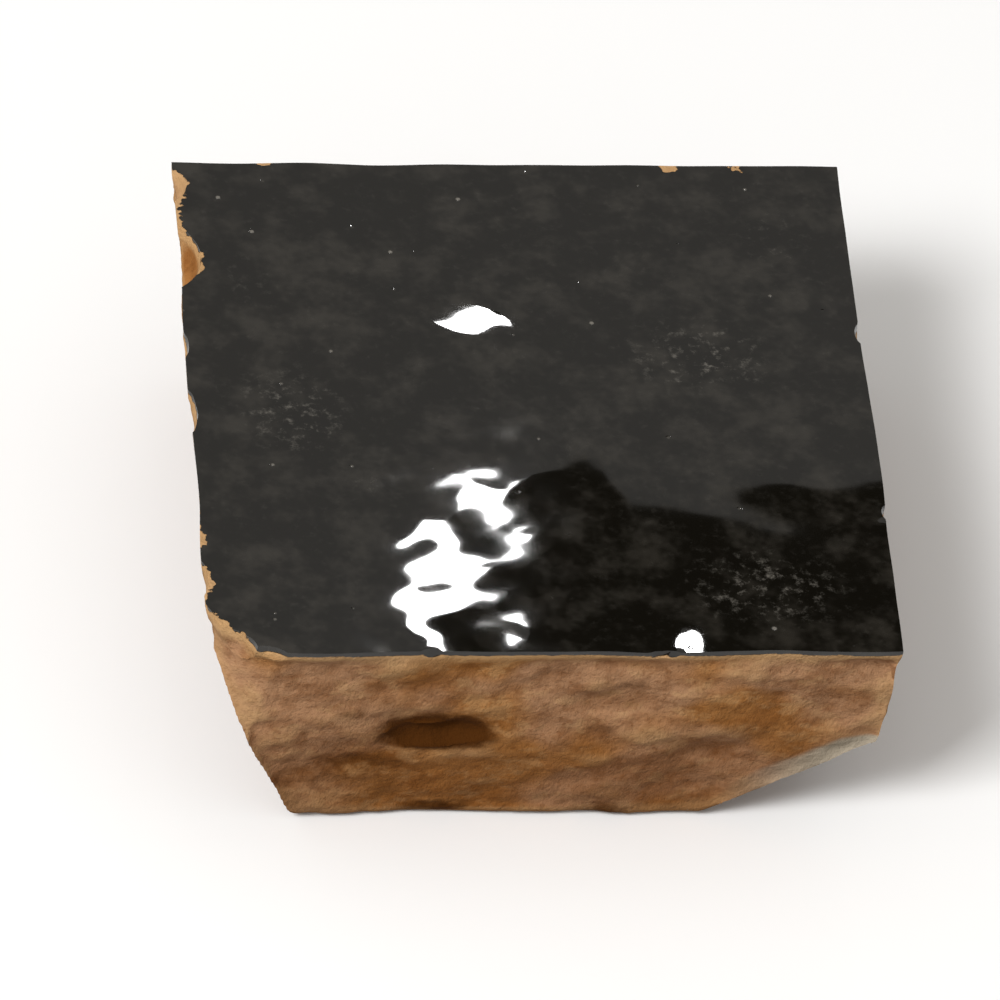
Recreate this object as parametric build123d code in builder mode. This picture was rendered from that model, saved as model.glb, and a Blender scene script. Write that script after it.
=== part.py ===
from build123d import *
import os
from math import cos, radians, sin, sqrt, tan

# A square zellige tile: one fired clay slab, glazed on its face and cut to size by hand with a chisel.
# The blows lean in under the glaze, so the face is the widest part and the back is smaller all round.
# Millimetres and degrees. X runs along the front edge, Y to the back edge, Z up through the glazed face.
# The origin is on the floor under the middle of the face.

# Glazed face
face_width = 48.0  # along the front edge
face_depth = 50.8  # from the front edge to the back edge
side_skew = 4.6  # the left and right edges lean this far to the right as they run back
thickness = 17.0  # from the back to the glaze

# Each side is two chisel cuts: a lip under the glaze, then a bevel down to the back.
# A lean is measured from upright, in under the tile.
front_lip_depth = 9.0
front_lip_lean = 3.0
front_bevel_lean = 8.0
right_lip_depth = 8.5
right_lip_lean = 1.5
right_bevel_lean = 20.0
back_lip_depth = 7.0
back_lip_lean = 4.0
back_bevel_lean = 16.0
left_lip_depth = 3.0
left_lip_lean = 8.0
left_bevel_lean = 27.0

# The front left corner of the face is worn round; the lean of the sides takes the round away lower down
corner_round = 5.4

# One more blow took off the lower front right corner
strike_width = 13.0  # along the bottom of the front
strike_height = 8.3  # up the corner
strike_run = 24.0  # back along the bottom of the right side

# Shell-shaped chips in the left edge near the back, each the scoop of a ball
notch_place = 10.0  # from the back left corner to the middle of the chip
notch_length = 6.5
notch_bite = 1.5  # into the face
notch_drop = 2.6  # down the side
nick_place = 2.4
nick_length = 3.4
nick_bite = 0.9
nick_drop = 1.4

UP = Vector(0, 0, 1)


def lean_shift(run, angle):
    """Sideways shift of a line that leans by the angle over the run."""
    return run * tan(radians(angle))


def chisel_plane(point, outward, lean):
    """Cutting plane through the point that faces outward and leans in under the tile."""
    normal = outward * cos(radians(lean)) - UP * sin(radians(lean))
    return Plane(origin=point, z_dir=normal)


def edge_scoop(length, bite, drop):
    """Ball that chips a straight edge: its radius, and how far its centre stands out and above."""
    half = length / 2
    out = (half**2 - bite**2) / (2 * bite)
    above = (half**2 - drop**2) / (2 * drop)
    return sqrt(half**2 + out**2 + above**2), out, above


# Corners of the face, in order round the tile seen from above
half_width = face_width / 2
half_depth = face_depth / 2
side_shift = lean_shift(half_depth, side_skew)
front_left = Vector(-half_width - side_shift, -half_depth, thickness)
front_right = Vector(half_width - side_shift, -half_depth, thickness)
back_right = Vector(half_width + side_shift, half_depth, thickness)
back_left = Vector(-half_width + side_shift, half_depth, thickness)

sides = (
    (front_left, front_right, front_lip_depth, front_lip_lean, front_bevel_lean),
    (front_right, back_right, right_lip_depth, right_lip_lean, right_bevel_lean),
    (back_right, back_left, back_lip_depth, back_lip_lean, back_bevel_lean),
    (back_left, front_left, left_lip_depth, left_lip_lean, left_bevel_lean),
)

# The lower front right corner falls off along a plane through three points of the upright slab
strike_top = Vector(front_right.X, front_right.Y, strike_height)
strike_front = Vector(front_right.X - strike_width, front_right.Y, 0)
strike_side = Vector(front_right.X + lean_shift(strike_run, side_skew), front_right.Y + strike_run, 0)
strike_normal = (strike_front - strike_top).cross(strike_side - strike_top).normalized()

left_along = (front_left - back_left).normalized()
left_outward = left_along.cross(UP)

with BuildPart() as tile:
    with BuildSketch(Plane.XY) as face:
        with BuildLine():
            Polyline(
                *((corner.X, corner.Y) for corner in (front_left, front_right, back_right, back_left)),
                close=True,
            )
        make_face()
        worn_corner = face.vertices().sort_by_distance((front_left.X, front_left.Y, 0))[0]
        fillet(worn_corner, radius=corner_round)
    extrude(amount=thickness)

    # The lip and the bevel of each side
    for start, end, lip_depth, lip_lean, bevel_lean in sides:
        outward = (end - start).normalized().cross(UP)
        lip_foot = start - UP * lip_depth - outward * lean_shift(lip_depth, lip_lean)
        split(bisect_by=chisel_plane(start, outward, lip_lean), keep=Keep.BOTTOM)
        split(bisect_by=chisel_plane(lip_foot, outward, bevel_lean), keep=Keep.BOTTOM)

    # The blow across the lower front right corner
    split(bisect_by=Plane(origin=strike_top, z_dir=strike_normal), keep=Keep.BOTTOM)

    # The chips in the left edge
    for place, length, bite, drop in (
        (notch_place, notch_length, notch_bite, notch_drop),
        (nick_place, nick_length, nick_bite, nick_drop),
    ):
        radius, out, above = edge_scoop(length, bite, drop)
        with Locations(back_left + left_along * place + left_outward * out + UP * above):
            Sphere(radius, mode=Mode.SUBTRACT)

tile.part.label = "glazed_tile"
os.makedirs("parts", exist_ok=True)
export_step(tile.part, "parts/glazed_tile.step")
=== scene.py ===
import math
import random

import bpy
import numpy as np
from mathutils import Matrix, Vector, noise
from mathutils.kdtree import KDTree


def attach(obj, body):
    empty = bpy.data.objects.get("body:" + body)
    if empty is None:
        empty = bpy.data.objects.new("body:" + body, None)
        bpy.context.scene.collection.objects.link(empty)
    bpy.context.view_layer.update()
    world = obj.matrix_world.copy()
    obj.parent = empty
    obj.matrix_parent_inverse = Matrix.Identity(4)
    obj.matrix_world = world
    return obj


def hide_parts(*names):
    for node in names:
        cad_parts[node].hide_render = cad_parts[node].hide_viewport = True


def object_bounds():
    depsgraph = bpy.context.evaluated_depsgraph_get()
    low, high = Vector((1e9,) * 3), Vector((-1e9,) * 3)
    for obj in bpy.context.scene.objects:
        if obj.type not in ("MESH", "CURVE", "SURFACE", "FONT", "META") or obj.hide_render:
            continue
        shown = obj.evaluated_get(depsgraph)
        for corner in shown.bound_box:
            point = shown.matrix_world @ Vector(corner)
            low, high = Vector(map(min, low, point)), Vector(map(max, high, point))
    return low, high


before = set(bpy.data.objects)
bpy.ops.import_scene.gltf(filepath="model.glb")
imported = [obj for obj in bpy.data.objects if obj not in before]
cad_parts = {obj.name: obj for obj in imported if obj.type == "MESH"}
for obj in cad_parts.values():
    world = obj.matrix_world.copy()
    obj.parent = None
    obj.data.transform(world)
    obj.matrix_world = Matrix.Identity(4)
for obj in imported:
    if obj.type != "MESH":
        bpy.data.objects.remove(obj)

bl_info = {
    "name": "Zellige tile",
    "version": (1, 0, 0),
    "blender": (4, 5, 0),
    "location": "View3D > Sidebar > Zellige",
    "description": "Dresses a hand-cut zellige tile in chipped black glaze and chiselled clay",
    "category": "Add Mesh",
}

MM = 0.001
UP = Vector((0, 0, 1))
CAD_LOW, CAD_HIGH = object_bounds()
FACE_Z = CAD_HIGH.z
TOUCH = 0.03 * MM  # points this near the plane of the face or of the back are on it

# Wear and damage of the tile
WORN_CORNER_MIDDLE = Vector((5.6, 5.4, 0)) * MM  # of the round corner, from the sharp corner that it replaces
WORN_CORNER_RADIUS = 5.4  # mm
FRONT_LEAN = 0.052  # how far the front steps back for each unit down
CHIP_TURN = 0.3  # radians by which a chip may lie askew
CHIP_GRAIN = 1.6 * MM
CHIP_ROUGHNESS = 0.25 * MM
LOWER_EDGE_WEAR = 0.7 * MM
LUMP_GRAIN = 2.6 * MM
LUMP_PLACES = (Vector((-2.7, 8.7)) * MM, Vector((7.0, -24.8)) * MM)

# How finely the mesh is made and evened
OCTREE_DEPTH = 8
RIM_ROUNDS = 2
CORNER_ROUNDS = 20
RELIEF_ROUNDS = 60

# The ring of slim lamps, in metres
RING_RADIUS = 1.2
RING_HEIGHT = 0.44
RING_COUNT = 24
STRIP_WIDTH = 0.016
STRIP_LENGTH = 0.5

# Where the camera stands in the photograph, from the middle of the glazed face
CAMERA_PLACE = Vector((-178 * MM, -641 * MM, FACE_Z + 566 * MM))


def linear(hex_colour):
    """An sRGB hex colour as linear RGB."""
    channels = (int(hex_colour[i:i + 2], 16) / 255 for i in (1, 3, 5))
    return tuple(c / 12.92 if c <= 0.04045 else ((c + 0.055) / 1.055) ** 2.4 for c in channels)


def add_node(tree, kind, inputs=None, **settings):
    """Adds a node, sets its properties, and fills or links its inputs."""
    node = tree.nodes.new(kind)
    for name, value in settings.items():
        setattr(node, name, value)
    for socket, value in (inputs or {}).items():
        if isinstance(value, bpy.types.NodeSocket):
            tree.links.new(value, node.inputs[socket])
        else:
            node.inputs[socket].default_value = value
    return node


class TileSettings(bpy.types.PropertyGroup):
    mesh_step: bpy.props.FloatProperty(
        name="Mesh step", description="Distance between the vertices of the worked surface",
        default=0.296 * MM, unit="LENGTH", precision=5)
    glaze_thickness: bpy.props.FloatProperty(
        name="Glaze thickness", description="Thickness of the glaze where a chip shows it",
        default=0.34 * MM, unit="LENGTH", precision=5)
    wave_height: bpy.props.FloatProperty(
        name="Glaze waves", description="Height of the slow waves of the glazed face",
        default=0.05 * MM, unit="LENGTH", precision=5)
    wave_length: bpy.props.FloatProperty(
        name="Wave length", description="Distance from one wave of the glaze to the next",
        default=15 * MM, unit="LENGTH", precision=4)
    ripple_height: bpy.props.FloatProperty(
        name="Glaze ripples",
        description="Height of the short ripples where the glaze ran towards the front",
        default=0.0348 * MM, unit="LENGTH", precision=5)
    ripple_length: bpy.props.FloatProperty(
        name="Ripple length", description="Distance from one ripple of the glaze to the next",
        default=4.12 * MM, unit="LENGTH", precision=4)
    bead_height: bpy.props.FloatProperty(
        name="Glaze beads", description="Height of the small beads that break up the ripples",
        default=0.0085 * MM, unit="LENGTH", precision=5)
    bead_length: bpy.props.FloatProperty(
        name="Bead length", description="Distance from one bead of the glaze to the next",
        default=2.03 * MM, unit="LENGTH", precision=4)
    scallop_depth: bpy.props.FloatProperty(
        name="Chisel scallops",
        description="Depth of the shell-shaped hollows that the chisel left in the clay",
        default=0.8 * MM, unit="LENGTH", precision=5)
    scallop_width: bpy.props.FloatProperty(
        name="Scallop width", description="Width of one chisel hollow",
        default=7 * MM, unit="LENGTH", precision=4)
    glaze_colour: bpy.props.FloatVectorProperty(
        name="Glaze", description="Warm black of the glaze", subtype="COLOR", size=3,
        default=linear("#100E0A"))
    glaze_cloud_colour: bpy.props.FloatVectorProperty(
        name="Glaze clouds", description="Greyer clouds in the glaze", subtype="COLOR", size=3,
        default=linear("#2D2A25"))
    glaze_dust_colour: bpy.props.FloatVectorProperty(
        name="Glaze dust", description="Dust in the pinholes and dull patches of the glaze",
        subtype="COLOR", size=3, default=linear("#8A857C"))
    clay_colour: bpy.props.FloatVectorProperty(
        name="Clay", description="Main ochre of the fired clay", subtype="COLOR", size=3,
        default=linear("#9D6A38"))
    clay_pale_colour: bpy.props.FloatVectorProperty(
        name="Pale clay", description="Paler and pinker patches of the clay", subtype="COLOR", size=3,
        default=linear("#A97F5D"))
    # Besides broken patches, this brown is painted shade in the hollows of the clay and towards its foot
    clay_brown_and_shade_colour: bpy.props.FloatVectorProperty(
        name="Brown clay", description="Brown of hollows and broken patches", subtype="COLOR", size=3,
        default=linear("#67380C"))
    # This dark brown is a stain in some streaks and painted shade in the dent and along the foot
    clay_stain_and_shade_colour: bpy.props.FloatVectorProperty(
        name="Stains", description="Dark brown of the dent and the stains in the front",
        subtype="COLOR", size=3, default=linear("#462400"))
    # Painted shade: a grey that stands in for the shaded floor under the struck corner, laid on the clay
    ground_shade_grey_colour: bpy.props.FloatVectorProperty(
        name="Grey wear", description="Grey of the clay that was rubbed along the struck corner",
        subtype="COLOR", size=3, default=linear("#A39A89"))
    clay_dust_colour: bpy.props.FloatVectorProperty(
        name="Clay dust", description="Pale rubbed ridges and the lip under the glaze",
        subtype="COLOR", size=3, default=linear("#C59F70"))


class StageSettings(bpy.types.PropertyGroup):
    floor_colour: bpy.props.FloatVectorProperty(
        name="Floor", description="Pale floor", subtype="COLOR", size=3, default=linear("#F7F7F7"))
    floor_bounce_colour: bpy.props.FloatVectorProperty(
        name="Floor bounce", description="Colour that the floor throws back on the tile",
        subtype="COLOR", size=3, default=linear("#A09E9C"))
    sky_colour: bpy.props.FloatVectorProperty(
        name="Sky", description="Colour of the light from all round", subtype="COLOR", size=3,
        default=linear("#FFFCF7"))
    horizon_strength: bpy.props.FloatProperty(
        name="Horizon", description="Level of the light from all round, at the height of the floor",
        default=0.18)
    zenith_strength: bpy.props.FloatProperty(
        name="Zenith", description="Level of the light from all round, straight above", default=0.60)
    key_power: bpy.props.FloatProperty(
        name="Key lamp", description="Power of the large soft lamp", default=14.5, unit="POWER")
    strip_power: bpy.props.FloatProperty(
        name="Strip lamps",
        description="Power of each slim lamp of the ring, and of the one overhead, that show the gloss",
        default=0.14, unit="POWER")
    glint_power: bpy.props.FloatProperty(
        name="Glint lamp", description="Power of the small lamp that glints in the glaze", default=0.055,
        unit="POWER")
    lens: bpy.props.FloatProperty(
        name="Lens", description="Focal length of the camera in millimetres", default=455.0)


def pick(obj):
    bpy.ops.object.select_all(action="DESELECT")
    obj.select_set(True)
    bpy.context.view_layer.objects.active = obj


def work_copy(node_name, name):
    """A merged copy of a CAD node, alone and selected."""
    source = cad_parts[node_name]
    piece = source.copy()
    piece.data = source.data.copy()
    piece.name = piece.data.name = name
    bpy.context.collection.objects.link(piece)
    pick(piece)
    bpy.ops.object.mode_set(mode="EDIT")
    bpy.ops.mesh.select_all(action="SELECT")
    bpy.ops.mesh.remove_doubles(threshold=0.001 * MM)
    bpy.ops.object.mode_set(mode="OBJECT")
    return piece


def apply_modifier(obj, kind, **settings):
    pick(obj)
    modifier = obj.modifiers.new(kind.title(), kind)
    for name, value in settings.items():
        setattr(modifier, name, value)
    bpy.ops.object.modifier_apply(modifier=modifier.name)


def relief_texture(name, kind, size, **settings):
    texture = bpy.data.textures.new(name, kind)
    texture.noise_scale = size
    for key, value in settings.items():
        setattr(texture, key, value)
    return texture


def smoothstep(low, high, value):
    t = min(1.0, max(0.0, (value - low) / (high - low)))
    return t * t * (3 - 2 * t)


def face_corners():
    """The four corners of the glazed face, front left first, from the CAD node's topmost points."""
    points = [v.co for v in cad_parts["glazed_tile"].data.vertices if FACE_Z - v.co.z < TOUCH]
    front_y = min(p.y for p in points)
    back_y = max(p.y for p in points)
    front = [p.x for p in points if p.y - front_y < TOUCH]
    back = [p.x for p in points if back_y - p.y < TOUCH]
    front_right = Vector((max(front), front_y, FACE_Z))
    back_right = Vector((max(back), back_y, FACE_Z))
    back_left = Vector((min(back), back_y, FACE_Z))
    front_left = front_right - (back_right - back_left)
    return front_left, front_right, back_right, back_left


def bite(at, along, outward, length, depth, drop, rng, stand_off=1.6):
    """One shell-shaped cutter: a cap as long and deep as asked, from a ball that stands off the surface."""
    normal_axis = depth * stand_off
    rim = math.sqrt(1 - (1 - 1 / stand_off) ** 2)
    bpy.ops.mesh.primitive_ico_sphere_add(subdivisions=4, radius=1.0)
    cutter = bpy.context.object
    turn = Matrix((along, outward, along.cross(outward))).transposed().to_4x4()
    spin = Matrix.Rotation(rng.uniform(-CHIP_TURN, CHIP_TURN), 4, "Y")
    size = Matrix.Diagonal((length / 2 / rim, normal_axis, drop / rim, 1.0))
    centre = at + outward * (normal_axis - depth)
    cutter.data.transform(Matrix.Translation(centre) @ turn @ spin @ size)
    return cutter


def chip_cutters(rng):
    """The larger chips and chisel bites of the tile as one object to cut away."""
    front_left, front_right, back_right, back_left = face_corners()
    cutters = []
    # Flakes off the glazed edge: start, end, then place along it, length, depth and drop of each in mm
    edges = (
        (back_left, front_left, ((19.4, 2.6, 0.3, 0.7), (26.4, 4.4, 0.5, 1.1), (43.6, 3.4, 0.35, 1.0))),
        (front_left, front_right, ((15.2, 1.8, 0.2, 0.5), (31.4, 2.6, 0.25, 0.6))),
        (front_right, back_right, ((14.0, 1.6, 0.25, 0.6), (33.0, 2.2, 0.25, 0.6))),
    )
    for start, end, flakes in edges:
        along = (end - start).normalized()
        for place, length, depth, drop in flakes:
            at = start + along * place * MM
            cutters.append(bite(at, along, along.cross(UP), length * MM, depth * MM, drop * MM, rng))
    # Flakes round the worn corner
    centre = front_left + WORN_CORNER_MIDDLE
    for degrees, length, depth, drop in ((196, 2.6, 0.4, 1.4), (226, 3.8, 0.8, 2.2), (255, 2.4, 0.4, 1.0)):
        angle = math.radians(degrees)
        outward = Vector((math.cos(angle), math.sin(angle), 0))
        at = centre + outward * WORN_CORNER_RADIUS * MM
        cutters.append(bite(at, UP.cross(outward), outward, length * MM, depth * MM, drop * MM, rng))
    # The dent in the front, deeper at its foot, and shallower chisel bites
    # Each has its x, z, length, depth and half height in mm
    right = Vector((1, 0, 0))
    forward = Vector((0, -1, 0))
    for x, z, length, depth, drop in (
        (-9.0, 9.2, 10.0, 0.35, 1.5),
        (-9.4, 8.3, 8.4, 0.8, 0.8),
        (-15.5, 5.0, 8.0, 0.4, 1.3),
        (-3.0, 3.0, 11.0, 0.3, 1.9),
        (9.0, 5.6, 10.0, 0.25, 2.4),
        (16.5, 11.0, 9.0, 0.25, 2.6),
        (2.5, 11.5, 8.0, 0.3, 1.2),
    ):
        at = Vector((x, CAD_LOW.y / MM + FRONT_LEAN * (FACE_Z / MM - z), z)) * MM
        cutters.append(bite(at, right, forward, length * MM, depth * MM, drop * MM, rng, stand_off=3.0))
    pick(cutters[0])
    for cutter in cutters:
        cutter.select_set(True)
    bpy.ops.object.join()
    joined = bpy.context.object
    joined.name = "chip_cutters"
    rough = relief_texture("chip_roughness", "CLOUDS", CHIP_GRAIN, noise_depth=2)
    apply_modifier(
        joined, "DISPLACE", texture=rough, texture_coords="LOCAL", strength=CHIP_ROUGHNESS, mid_level=0.5)
    return joined


def wear_lower_edge(piece):
    """Blunts the edge round the back."""
    pick(piece)
    bpy.ops.object.mode_set(mode="EDIT")
    bpy.ops.mesh.select_mode(type="EDGE")
    bpy.ops.mesh.select_all(action="SELECT")
    bpy.ops.mesh.dissolve_limited(angle_limit=math.radians(1))
    bpy.ops.mesh.select_all(action="DESELECT")
    bpy.ops.object.mode_set(mode="OBJECT")
    for edge in piece.data.edges:
        edge.select = all(piece.data.vertices[i].co.z < TOUCH for i in edge.vertices)
    bpy.ops.object.mode_set(mode="EDIT")
    bpy.ops.mesh.bevel(offset=LOWER_EDGE_WEAR, segments=2, affect="EDGES")
    bpy.ops.object.mode_set(mode="OBJECT")


def weigh(piece, name, weights):
    """A vertex group with a weight for each vertex."""
    group = piece.vertex_groups.new(name=name)
    for i, weight in enumerate(weights):
        if weight > 0:
            group.add((i,), weight, "REPLACE")
    return name


def keep_values(piece, name, values):
    """Stores one number for each vertex, for the finish to read."""
    piece.data.attributes.new(name, "FLOAT", "POINT").data.foreach_set("value", values)


def neighbour_means(mesh, values, rounds):
    """Values of the vertices after each has taken the mean of its neighbours' values, for some rounds."""
    ends = np.empty(len(mesh.edges) * 2, dtype=int)
    mesh.edges.foreach_get("vertices", ends)
    a, b = ends.reshape(-1, 2).T
    count = len(mesh.vertices)
    neighbours = np.bincount(ends, minlength=count)
    for _ in range(rounds):
        values = (np.bincount(a, values[b], count) + np.bincount(b, values[a], count)) / neighbours
    return values


def rim_distance(piece):
    """For each vertex in mm: on the glaze, how far in from its edge; on the clay, minus its depth."""
    points = [v.co.copy() for v in piece.data.vertices]
    tree = KDTree(len(points))
    for i, point in enumerate(points):
        if TOUCH < FACE_Z - point.z < MM:
            tree.insert(point, i)
    tree.balance()
    distances = np.array([
        min(tree.find(p)[2] / MM, 6.0) if FACE_Z - p.z < TOUCH else (p.z - FACE_Z) / MM
        for p in points
    ])
    return neighbour_means(piece.data, distances, RIM_ROUNDS)


def relief_height(piece, rounds):
    """For each vertex in mm: how far it stands out of its neighbourhood, less than 0 in a hollow."""
    mesh = piece.data
    places = np.empty(len(mesh.vertices) * 3)
    mesh.vertices.foreach_get("co", places)
    normals = np.empty(len(mesh.vertices) * 3)
    mesh.vertices.foreach_get("normal", normals)
    height = 0.0
    for place, normal in zip(places.reshape(-1, 3).T, normals.reshape(-1, 3).T):
        height += (place - neighbour_means(mesh, place, rounds)) * normal / MM
    return height


def edge_wear(co, corners):
    """How badly the glaze has flaked here: in stretches on the left, and in three places at the back."""
    front_left, _, _, back_left = corners
    edge = back_left - front_left
    left_x = front_left.x + edge.x * (co.y - front_left.y) / edge.y
    stretches = smoothstep(-0.25, 0.35, noise.noise(co / (5 * MM)))
    left = (1 - smoothstep(1.5 * MM, 4 * MM, co.x - left_x)) * (0.45 + 0.75 * stretches)
    back = 0.0
    for place, half_length in ((6.7, 1.9), (35.8, 1.1), (40.9, 1.8)):
        away = abs(co.x - back_left.x - place * MM) / (half_length * MM)
        back = max(back, 1.35 * (1 - smoothstep(0.3, 1.0, away)))
    back *= 1 - smoothstep(1.5 * MM, 3 * MM, back_left.y - co.y)
    return max(left, back, 0.2)


def front_stain_and_shade(co, normal):
    """How dark brown the clay is painted here: stains in a few streaks of the front, painted shade in the
    dent and painted shadow along the foot.
    """
    stain_and_shade = 0.0
    if normal.y < -0.4:
        # The first is painted shade in the dent, the two at a height of 0.6 mm are painted shadow along the
        # foot, the rest are stains
        for x, z, half_length, half_height, share in (
            (-9.2, 8.5, 5.4, 1.9, 1.4), (-15.7, 10.6, 1.8, 0.7, 0.45), (-18.6, 8.6, 1.6, 0.8, 0.45),
            (-14.0, 5.4, 5.0, 1.4, 0.6), (-16.0, 4.0, 8.0, 5.0, 0.35), (-8.2, 0.6, 4.0, 1.0, 0.8),
            (3.5, 0.6, 3.2, 1.0, 0.8), (1.8, 9.0, 2.2, 0.7, 0.4), (3.8, 13.1, 2.6, 0.7, 0.35),
        ):
            away = ((co.x / MM - x) / half_length) ** 2 + ((co.z / MM - z) / half_height) ** 2
            stain_and_shade = max(stain_and_shade, share * max(0.0, 1 - away))
    return stain_and_shade


def ground_shade_grey(co):
    """How much painted grey lies on the clay here, standing in for the shaded floor under the struck lower
    right corner, most at its upper end.
    """
    # The edge of the blow in the front, as x and z in mm, and the height that the grey reaches
    start = Vector((9.0, 0.0))
    end = Vector((22.0, 8.3))
    top = 8.6
    share = (co.x / MM - start.x) / (end.x - start.x)
    edge_z = start.y + share * (end.y - start.y)
    above = co.z / MM - edge_z
    band = max(0.3, min(2.2, top - edge_z))
    depth = (co.y - CAD_LOW.y) / MM
    wear = smoothstep(-0.1, 0.9, share)
    wear *= 1 - smoothstep(0.55, 1.05, above / band)
    wear *= 1 - smoothstep(2.0, 4.0, depth)
    return wear if share < 1.15 else 0.0


def glaze_dust(co):
    """How dusty the glaze is here: patches at x and y, with radii in mm, and how thick the dust lies."""
    dust = 0.0
    for x, y, radius_x, radius_y, share in (
        (13.5, -19.0, 9.0, 6.0, 1.0), (12.5, 5.0, 8.0, 6.0, 1.0), (-17.0, -1.0, 6.0, 7.0, 0.9),
        (-12.0, -9.0, 5.0, 4.0, 0.4), (20.0, 17.0, 4.0, 6.0, 0.5), (-18.0, 13.0, 5.0, 7.0, 0.4),
    ):
        away = math.hypot((co.x / MM - x) / radius_x, (co.y / MM - y) / radius_y)
        dust = max(dust, share * (1 - smoothstep(0.2, 1.0, away)))
    return max(dust, 0.25)


def glaze_lump(co):
    """Height of the two lumps where the glaze tilts.

    Each has its radii in mm, the share of it that is even, its tilts to the right and to the back in mm/m,
    its rise in mm, and how uneven its outline is.
    """
    height = 0.0
    for place, (radius_x, radius_y, core, tilt_x, tilt_y, rise, uneven) in zip(LUMP_PLACES, (
        (4.6, 5.4, 0.25, 1.6, 19.9, 0.0, 0.4),
        (5.2, 5.6, 0.15, 24.7, -8.2, -0.0214, 0.3),
    )):
        dx = co.x - place.x
        dy = co.y - place.y
        away = math.hypot(dx / radius_x, dy / radius_y) / MM * (1 + uneven * noise.noise(co / LUMP_GRAIN))
        height += (tilt_x * dx + tilt_y * dy + rise) * MM * (1 - smoothstep(core, 1.0, away))
    return height


def streak_ripples(co):
    """Share of the ripples: whole where the glaze ran in a band towards the front, slight elsewhere."""
    band_middle = Vector((-7.5, -16.8)) * MM
    across = Vector((0.94, -0.34))
    along = Vector((0.34, 0.94))
    half_width = 8
    half_length = 15
    away = co.xy - band_middle
    off = math.hypot(away.dot(across) / half_width, away.dot(along) / half_length) / MM
    # Some of them also run over the lump at the back
    lump_off = (co.xy - LUMP_PLACES[0]).length / (5 * MM)
    share = max(1 - smoothstep(0.6, 1.2, off), 0.35 * (1 - smoothstep(0.4, 1.0, lump_off)), 0.1)
    return share * (1 - smoothstep(0, 4 * MM, FACE_Z - co.z))


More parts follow.
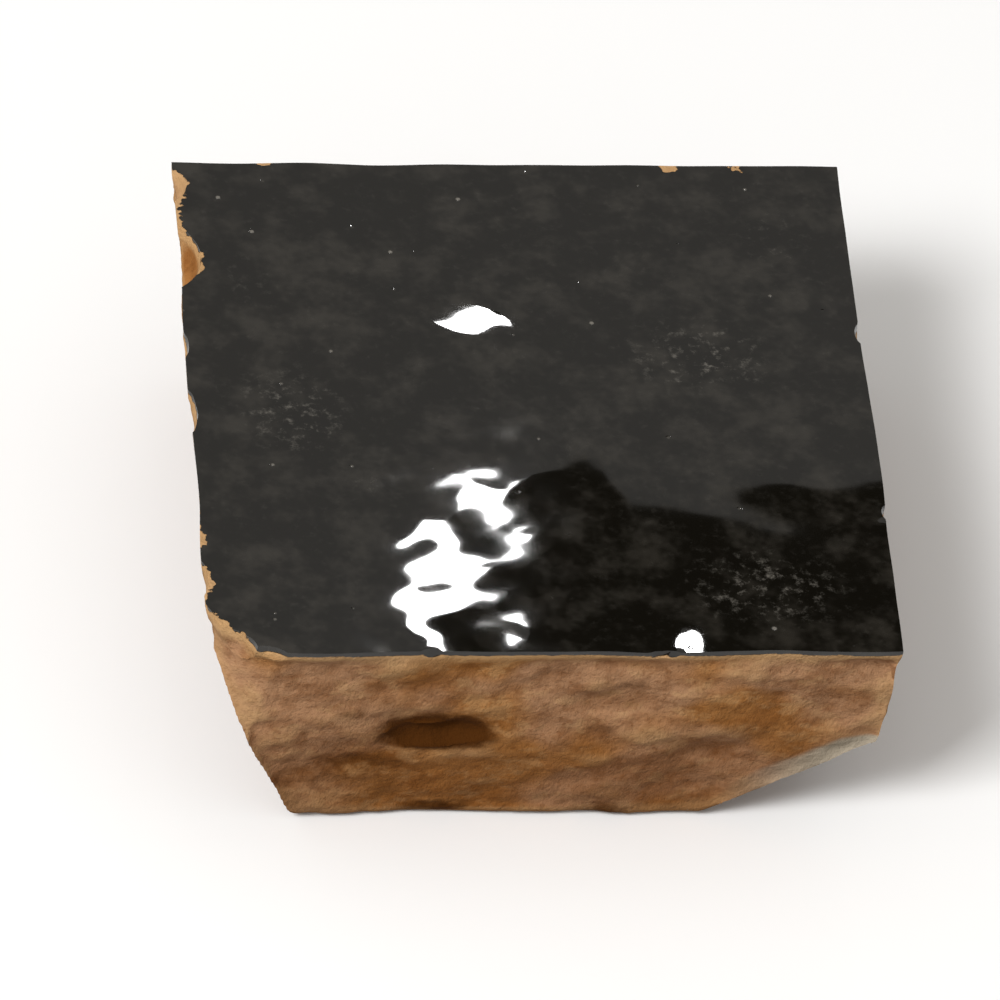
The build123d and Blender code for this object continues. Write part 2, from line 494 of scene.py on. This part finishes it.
def build_tile(settings):
    rng = random.Random(38)
    piece = work_copy("glazed_tile", "zellige_tile")
    wear_lower_edge(piece)
    cutters = chip_cutters(rng)
    apply_modifier(piece, "BOOLEAN", operation="DIFFERENCE", solver="EXACT", use_self=True, object=cutters)
    bpy.data.objects.remove(cutters)
    apply_modifier(
        piece, "REMESH", mode="SHARP", octree_depth=OCTREE_DEPTH, sharpness=1.0, use_remove_disconnected=True,
        scale=max(piece.dimensions) / settings.mesh_step / 2 ** OCTREE_DEPTH)

    # What the finish reads: where the glaze ends, how worn and dusty it is, where stains and painted shade
    # lie on the clay
    corners = face_corners()
    keep_values(piece, "rim_mm", rim_distance(piece))
    keep_values(piece, "edge_wear", [edge_wear(v.co, corners) for v in piece.data.vertices])
    keep_values(piece, "glaze_dust", [glaze_dust(v.co) for v in piece.data.vertices])
    keep_values(piece, "stain_and_shade", [front_stain_and_shade(v.co, v.normal) for v in piece.data.vertices])
    keep_values(piece, "ground_shade_grey", [ground_shade_grey(v.co) for v in piece.data.vertices])

    # Where each relief shows: the clay's back is smoother, and its sharp corners hold no more relief
    vertices = piece.data.vertices
    glaze = weigh(piece, "glaze", [1 - smoothstep(0, 4 * MM, FACE_Z - v.co.z) for v in vertices])
    streak = weigh(piece, "streak_ripples", [streak_ripples(v.co) for v in vertices])
    below = [smoothstep(0.3 * MM, 1.8 * MM, FACE_Z - v.co.z) for v in vertices]
    rubbed = weigh(piece, "rubbed_clay", below)
    clay = weigh(piece, "clay", [
        share * (0.3 if v.normal.z < -0.9 else 1) * (1 - 0.8 * smoothstep(0.1, 0.4, height))
        for v, share, height in zip(vertices, below, relief_height(piece, CORNER_ROUNDS))])

    # Corners of the clay are rubbed round, and the glaze stands in two lumps
    apply_modifier(piece, "SMOOTH", vertex_group=rubbed, factor=0.5, iterations=8)
    for vertex in piece.data.vertices:
        if FACE_Z - vertex.co.z < TOUCH:
            vertex.co.z += glaze_lump(vertex.co)

    # How a pattern lies on the tile: its stretch, its turn in degrees and its shift in mm
    even = ((1.0, 1.0, 1.0), 0, (0, 0))
    run = ((1.77, 1.0, 1.0), -27.2, (20.5, 51.7))  # the glaze ran to the front and stands in ripples
    beaded = ((1.97, 1.0, 1.0), 28.6, (46.2, 8.9))  # shorter waves stand askew on the ripples
    sheared = ((1.8, 1.8, 1.0), 0, (0, 0))  # the chisel drew the clay out along the sides
    # Reliefs: kind, size, lie, height, level that stays, where, direction, options
    for name, kind, size, lie, depth, level, group, direction, options in (
        ("hand_cut_line_x", "CLOUDS", 11 * MM, even, 0.5 * MM, 0.5, "", "X", {"noise_depth": 1}),
        ("hand_cut_line_y", "CLOUDS", 9 * MM, even, 0.5 * MM, 0.5, "", "Y", {"noise_depth": 1}),
        ("glaze_waves", "CLOUDS", settings.wave_length, even, settings.wave_height, 0.5, glaze, "Z",
         {"noise_depth": 0}),
        ("glaze_ripples", "CLOUDS", settings.ripple_length, run, settings.ripple_height, 0.5, streak, "Z",
         {"noise_depth": 0}),
        ("glaze_beads", "CLOUDS", settings.bead_length, beaded, settings.bead_height, 0.5, streak, "Z",
         {"noise_depth": 0}),
        ("chisel_scallops", "VORONOI", settings.scallop_width, sheared, settings.scallop_depth, 0.75, clay,
         "NORMAL", {"distance_metric": "DISTANCE_SQUARED"}),
        ("sheared_clay", "CLOUDS", 2.0 * MM, sheared, 0.7 * MM, 0.6, clay, "NORMAL", {"noise_depth": 3}),
        ("clay_grain", "CLOUDS", 0.8 * MM, even, 0.2 * MM, 0.5, clay, "NORMAL", {"noise_depth": 2}),
    ):
        texture = relief_texture(name, kind, size, **options)
        stretch, turn, shift = lie
        bpy.ops.object.empty_add(
            location=(shift[0] * MM, shift[1] * MM, 0), rotation=(0, 0, math.radians(turn)))
        pattern = bpy.context.object
        pattern.scale = stretch
        apply_modifier(
            piece, "DISPLACE", texture=texture, texture_coords="OBJECT", texture_coords_object=pattern,
            direction=direction, vertex_group=group, strength=depth, mid_level=level)
        bpy.data.objects.remove(pattern)
    apply_modifier(piece, "SMOOTH", vertex_group=rubbed, factor=0.5, iterations=2)

    # Nothing hangs under the plane of the back
    for vertex in piece.data.vertices:
        vertex.co.z = max(vertex.co.z, 0.0)

    pick(piece)
    bpy.ops.object.shade_smooth_by_angle(angle=math.radians(45))
    keep_values(piece, "relief_mm", relief_height(piece, RELIEF_ROUNDS))
    return piece


def glazed_clay_finish(settings):
    """Lead-black glaze fused to fired clay.

    The glaze is glassy and almost black: it takes its colour from what it mirrors, its waves and ripples
    break the lamps into glints, and pinholes and dust dull it in specks. The clay under it is ochre, dry and
    dull, browner in its stains, with painted shade in its hollows, in the dent, along its foot and towards
    the bottom, paler on rubbed ridges, and painted grey along the struck corner for the shaded floor there.
    """
    material = bpy.data.materials.new("black_glaze_on_fired_clay")
    material.use_nodes = True
    tree = material.node_tree
    tree.nodes.clear()
    place = add_node(tree, "ShaderNodeTexCoord").outputs["Object"]
    # The streaks of the clay are drawn out along the sides
    sheared = add_node(tree, "ShaderNodeMapping", {
        "Vector": place, "Scale": (0.65, 0.65, 1.0)}).outputs["Vector"]
    measured = {}
    for name in ("rim_mm", "edge_wear", "glaze_dust", "relief_mm", "stain_and_shade", "ground_shade_grey"):
        measured[name] = add_node(tree, "ShaderNodeAttribute", attribute_name=name).outputs["Fac"]
    rim = measured["rim_mm"]

    # Clouds of each pattern: coordinates, size in mm, detail, roughness
    clouds = {}
    for name, at, size_mm, detail, roughness in (
        ("flaking", place, 2.2, 3.0, 0.6),
        ("grit", place, 0.5, 2.0, 0.6),
        ("broad_patches", sheared, 8.0, 2.0, 0.5),
        ("brown_streaks", sheared, 2.8, 3.0, 0.6),
        ("mottling", place, 1.1, 2.0, 0.5),
        ("dust_streaks", sheared, 1.5, 3.0, 0.65),
        ("fine_grain", place, 0.3, 2.0, 0.7),
        ("glaze_mottling", place, 3.2, 3.0, 0.65),
        ("dust_grain", place, 0.7, 3.0, 0.7),
    ):
        clouds[name] = add_node(tree, "ShaderNodeTexNoise", {
            "Vector": at, "Scale": 1 / (size_mm * MM), "Detail": detail, "Roughness": roughness,
        }).outputs["Fac"]

    # Pinholes stand about this far apart, and only some of the cells have one
    hole_spacing = 1.9 * MM
    holes = add_node(tree, "ShaderNodeTexVoronoi", {"Vector": place, "Scale": 1 / hole_spacing})
    hole_choice = add_node(tree, "ShaderNodeSeparateColor", {
        "Color": holes.outputs["Color"]}).outputs["Red"]

    # What each pattern gives: the pattern, its low and high level, and the values given at them
    shares = {}
    for name, value, low, high, least, most in (
        ("flaking", clouds["flaking"], 0.45, 0.7, 0.25, 1.1),
        ("hole_core", holes.outputs["Distance"], 0.11, 0.05, 0.0, 1.0),
        ("hole_choice", hole_choice, 0.7, 0.95, 0.0, 1.0),
        ("dust_grain", clouds["dust_grain"], 0.5, 0.75, 0.0, 0.5),
        ("ragged_edge", clouds["grit"], 0.0, 1.0, -0.13, 0.13),
        ("stain_and_shade_edges", clouds["dust_streaks"], 0.2, 0.8, 0.35, -0.35),
        ("glaze_roughness", clouds["glaze_mottling"], 0.45, 0.8, 0.015, 0.03),
        ("fine_grain", clouds["fine_grain"], 0.0, 1.0, -0.35, -0.23),
        ("coarse_grain", clouds["mottling"], 0.0, 1.0, 0.0, 0.14),
    ):
        shares[name] = add_node(tree, "ShaderNodeMapRange", {
            "Value": value, "From Min": low, "From Max": high, "To Min": least, "To Max": most,
        }).outputs["Result"]

    # Sums and products of the patterns
    for name, operation, first, second in (
        ("flakes", "MULTIPLY", "flaking", measured["edge_wear"]),
        ("sound_rim", "SUBTRACT", rim, "flakes"),
        ("glaze_edge", "ADD", "sound_rim", "ragged_edge"),
        ("pinholes", "MULTIPLY", "hole_core", "hole_choice"),
        ("dust", "MULTIPLY", "dust_grain", measured["glaze_dust"]),
        ("stains_and_shade", "ADD", measured["stain_and_shade"], "stain_and_shade_edges"),
        ("pinhole_depth", "MULTIPLY", "pinholes", -0.02),
        ("grain_height", "ADD", "fine_grain", "coarse_grain"),
    ):
        terms = {0: shares.get(first, first), 1: shares.get(second, second)}
        shares[name] = add_node(tree, "ShaderNodeMath", terms, operation=operation).outputs["Value"]

    # Glaze or clay: the glaze ends a little below the face, and small flakes are missing along its edge
    thickness = settings.glaze_thickness / MM
    blend = 0.04
    bare = add_node(tree, "ShaderNodeMapRange", {
        "Value": shares["glaze_edge"], "From Min": blend - thickness, "From Max": -blend - thickness,
    }).outputs["Result"]

    # Colours laid over each other: the pattern, the levels from none to most, how strong, and the colour
    clay_layers = (
        (clouds["broad_patches"], 0.42, 0.56, 1.0, settings.clay_pale_colour),
        (clouds["brown_streaks"], 0.47, 0.62, 0.4, settings.clay_brown_and_shade_colour),
        (clouds["mottling"], 0.5, 0.62, 0.28, settings.clay_brown_and_shade_colour),
        (clouds["dust_streaks"], 0.5, 0.66, 0.3, settings.clay_dust_colour),
        (clouds["grit"], 0.56, 0.68, 0.3, settings.clay_brown_and_shade_colour),
        # Painted shade: the hollows of the relief are darkened brown, and its ridges are paler
        (measured["relief_mm"], -0.03, -0.3, 0.5, settings.clay_brown_and_shade_colour),
        (measured["relief_mm"], 0.04, 0.3, 0.4, settings.clay_dust_colour),
        # Painted shade: the clay darkens brown towards the bottom, further below the glaze
        (rim, -4.0, -13.0, 0.38, settings.clay_brown_and_shade_colour),
        # Stains, with painted shade in the dent and painted shadow along the foot
        (shares["stains_and_shade"], 0.1, 0.9, 1.0, settings.clay_stain_and_shade_colour),
        # Painted shade: grey of the shaded floor, laid on the clay along the struck corner
        (measured["ground_shade_grey"], 0.15, 1.0, 0.9, settings.ground_shade_grey_colour),
        (rim, -1.0, -0.45, 0.5, settings.clay_dust_colour),
    )
    glaze_layers = (
        (clouds["glaze_mottling"], 0.42, 0.74, 0.82, settings.glaze_cloud_colour),
        (shares["dust"], 0.0, 1.0, 1.0, settings.glaze_dust_colour),
        (shares["pinholes"], 0.0, 1.0, 0.6, settings.glaze_dust_colour),
    )
    coats = []
    for base, layers in ((settings.glaze_colour, glaze_layers), (settings.clay_colour, clay_layers)):
        colour = (*base, 1.0)
        for value, low, high, most, layer_colour in layers:
            share = add_node(tree, "ShaderNodeMapRange", {
                "Value": value, "From Min": low, "From Max": high, "To Max": most},
                interpolation_type="SMOOTHSTEP").outputs["Result"]
            colour = add_node(tree, "ShaderNodeMix", {0: share, 6: colour, 7: (*layer_colour, 1.0)},
                              data_type="RGBA").outputs[2]
        coats.append(colour)
    colour = add_node(tree, "ShaderNodeMix", {
        0: bare, 6: coats[0], 7: coats[1]}, data_type="RGBA").outputs[2]
    roughness = add_node(tree, "ShaderNodeMix", {0: bare, 2: shares["glaze_roughness"], 3: 0.92}).outputs[0]
    sheen = add_node(tree, "ShaderNodeMix", {0: bare, 2: 0.5, 3: 0.15}).outputs[0]

    # Relief too fine for the mesh, in mm: pinholes in the glaze, grain in the clay, the step between them
    height = add_node(tree, "ShaderNodeMix", {
        0: bare, 2: shares["pinhole_depth"], 3: shares["grain_height"]}).outputs[0]
    bump = add_node(tree, "ShaderNodeBump", {"Height": height, "Strength": 1.0, "Distance": MM})

    shader = add_node(tree, "ShaderNodeBsdfPrincipled", {
        "Base Color": colour, "Roughness": roughness, "IOR": 1.5, "Specular IOR Level": sheen,
        "Normal": bump.outputs["Normal"]})
    add_node(tree, "ShaderNodeOutputMaterial", {"Surface": shader.outputs["BSDF"]})
    return material


class ZELLIGE_OT_glazed_tile(bpy.types.Operator):
    """Cut the chips and chisel marks into the slab and give it its glaze and clay"""
    bl_idname = "zellige.glazed_tile"
    bl_label = "Glazed tile"

    def execute(self, context):
        settings = context.scene.zellige_tile
        piece = build_tile(settings)
        piece.data.materials.clear()
        piece.data.materials.append(glazed_clay_finish(settings))
        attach(piece, "root")
        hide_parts("glazed_tile")
        return {"FINISHED"}


def mirrored_sight(x_mm, y_mm, distance):
    """The point that the camera sees mirrored in a level glaze at this place of the face."""
    spot = Vector((x_mm * MM, y_mm * MM, FACE_Z))
    sight = (spot - CAMERA_PLACE).normalized()
    return spot + Vector((sight.x, sight.y, -sight.z)) * distance


def aim(obj, target, right):
    """Turns a camera or lamp to a target, with its own X along a wanted direction as far as it can be."""
    back = (obj.location - target).normalized()
    x_axis = (right - back * right.dot(back)).normalized()
    y_axis = back.cross(x_axis)
    obj.rotation_mode = "QUATERNION"
    obj.rotation_quaternion = Matrix((x_axis, y_axis, back)).transposed().to_quaternion()


def area_lamp(name, location, width, height, power):
    """A flat lamp that faces the tile, with its foot level."""
    data = bpy.data.lights.new(name, "AREA")
    data.shape = "RECTANGLE"
    data.size = width
    data.size_y = height
    data.energy = power
    lamp = bpy.data.objects.new(name, data)
    bpy.context.collection.objects.link(lamp)
    lamp.location = location
    lamp.visible_camera = False
    aim(lamp, Vector((0, 0, FACE_Z / 2)), UP.cross(location))


def lay_floor(settings):
    bpy.ops.object.select_all(action="DESELECT")
    bpy.ops.mesh.primitive_plane_add(size=6.0, location=(0, 0, -0.05 * MM))
    floor = bpy.context.object
    floor.name = "floor"
    # Matt white paper: pale to the eye and in mirrors, but it throws less light back than it shows
    paper = bpy.data.materials.new("matt_white_paper")
    paper.use_nodes = True
    tree = paper.node_tree
    tree.nodes.clear()
    path = add_node(tree, "ShaderNodeLightPath")
    seen = path.outputs["Is Camera Ray"]
    for ray in ("Is Glossy Ray", "Is Transmission Ray"):
        seen = add_node(tree, "ShaderNodeMath", {
            0: seen, 1: path.outputs[ray]}, operation="MAXIMUM").outputs[0]
    colour = add_node(tree, "ShaderNodeMix", {
        0: seen, 6: (*settings.floor_bounce_colour, 1), 7: (*settings.floor_colour, 1)}, data_type="RGBA")
    matt = add_node(tree, "ShaderNodeBsdfDiffuse", {"Color": colour.outputs[2]})
    add_node(tree, "ShaderNodeOutputMaterial", {"Surface": matt.outputs["BSDF"]})
    floor.data.materials.append(paper)


def hang_sky(settings):
    """Even light from all round that grows from the horizon to the zenith."""
    world = bpy.data.worlds.new("studio_sky")
    bpy.context.scene.world = world
    world.use_nodes = True
    tree = world.node_tree
    tree.nodes.clear()
    direction = add_node(tree, "ShaderNodeTexCoord").outputs["Generated"]
    rise = add_node(tree, "ShaderNodeSeparateXYZ", {0: direction}).outputs["Z"]
    strength = add_node(tree, "ShaderNodeMapRange", {
        "Value": rise, "To Min": settings.horizon_strength, "To Max": settings.zenith_strength})
    sky = add_node(tree, "ShaderNodeBackground", {
        "Color": (*settings.sky_colour, 1), "Strength": strength.outputs["Result"]})
    add_node(tree, "ShaderNodeOutputWorld", {"Surface": sky.outputs["Background"]})


def set_lamps(settings):
    area_lamp("key", Vector((-0.75, -0.55, 0.9)), 0.45, 0.45, settings.key_power)
    # A ring of slim upright lamps, each of which the glaze mirrors to a low viewer on its other side
    for i in range(RING_COUNT):
        angle = math.tau * i / RING_COUNT
        place = Vector((RING_RADIUS * math.sin(angle), -RING_RADIUS * math.cos(angle), RING_HEIGHT))
        area_lamp(f"strip_{i}", place, STRIP_WIDTH, STRIP_LENGTH, settings.strip_power)
    # One slim lamp overhead does the same for a viewer above
    area_lamp("top_strip", Vector((0.025, 0.23, 1.28)), 0.02, STRIP_LENGTH, settings.strip_power)
    # The glint lamp stands where the glaze mirrors it to the camera as a streak that runs to the front edge
    area_lamp("glint", mirrored_sight(-7.3, -17.9, 0.95), 0.0083, 0.0253, settings.glint_power)


def hang_black_flag():
    """Black card that darkens what the glaze mirrors on the right of the front."""
    # Where its outline shows mirrored in the face, in mm
    outline = (
        (-8, -30), (-4.5, -18), (-2.6, -10), (-1.8, -7.4), (0.5, -6.8), (2.6, -6.9), (4.2, -8), (5, -10),
        (6, -12.4), (9, -13), (14, -12), (19, -11.5), (24, -9.5), (60, -9), (60, -70), (-8, -70),
    )
    bpy.ops.object.select_all(action="DESELECT")
    bpy.ops.mesh.primitive_circle_add(vertices=len(outline), fill_type="NGON")
    flag = bpy.context.object
    flag.name = "black_flag"
    for vertex, (x, y) in zip(flag.data.vertices, outline):
        vertex.co = mirrored_sight(x, y, 1.0)
    flag.visible_camera = flag.visible_diffuse = flag.visible_shadow = False
    felt = bpy.data.materials.new("black_felt")
    felt.use_nodes = True
    felt.node_tree.nodes.clear()
    matt = add_node(felt.node_tree, "ShaderNodeBsdfDiffuse", {"Color": (*linear("#0D0D0D"), 1)})
    add_node(felt.node_tree, "ShaderNodeOutputMaterial", {"Surface": matt.outputs["BSDF"]})
    flag.data.materials.append(felt)


def stand_camera(settings):
    data = bpy.data.cameras.new("camera")
    data.lens = settings.lens
    data.clip_start = 0.01
    camera = bpy.data.objects.new("camera", data)
    bpy.context.collection.objects.link(camera)
    camera.location = CAMERA_PLACE
    # Level with the front edge, as in the photograph
    aim(camera, Vector((-1.0 * MM, 0, FACE_Z / 2 - 0.5 * MM)), Vector((1, 0, 0)))
    bpy.context.scene.camera = camera


class ZELLIGE_OT_stage(bpy.types.Operator):
    """Lay the pale floor, set the lamps and the camera"""
    bl_idname = "zellige.stage"
    bl_label = "Stage"

    def execute(self, context):
        settings = context.scene.zellige_stage
        context.scene.view_settings.view_transform = "Standard"
        lay_floor(settings)
        hang_sky(settings)
        set_lamps(settings)
        hang_black_flag()
        stand_camera(settings)
        return {"FINISHED"}


class ZELLIGE_PT_panel(bpy.types.Panel):
    bl_idname = "ZELLIGE_PT_panel"
    bl_label = "Zellige tile"
    bl_space_type = "VIEW_3D"
    bl_region_type = "UI"
    bl_category = "Zellige"

    def draw(self, context):
        for settings, operator in (
            (context.scene.zellige_tile, ZELLIGE_OT_glazed_tile),
            (context.scene.zellige_stage, ZELLIGE_OT_stage),
        ):
            box = self.layout.box()
            for name in settings.__annotations__:
                box.prop(settings, name)
            box.operator(operator.bl_idname)


CLASSES = (TileSettings, StageSettings, ZELLIGE_OT_glazed_tile, ZELLIGE_OT_stage, ZELLIGE_PT_panel)


def register():
    for cls in CLASSES:
        bpy.utils.register_class(cls)
    bpy.types.Scene.zellige_tile = bpy.props.PointerProperty(type=TileSettings)
    bpy.types.Scene.zellige_stage = bpy.props.PointerProperty(type=StageSettings)


def unregister():
    del bpy.types.Scene.zellige_stage
    del bpy.types.Scene.zellige_tile
    for cls in reversed(CLASSES):
        bpy.utils.unregister_class(cls)


def main():
    register()
    bpy.ops.zellige.glazed_tile()
    bpy.ops.zellige.stage()


if __name__ == "__main__":
    main()
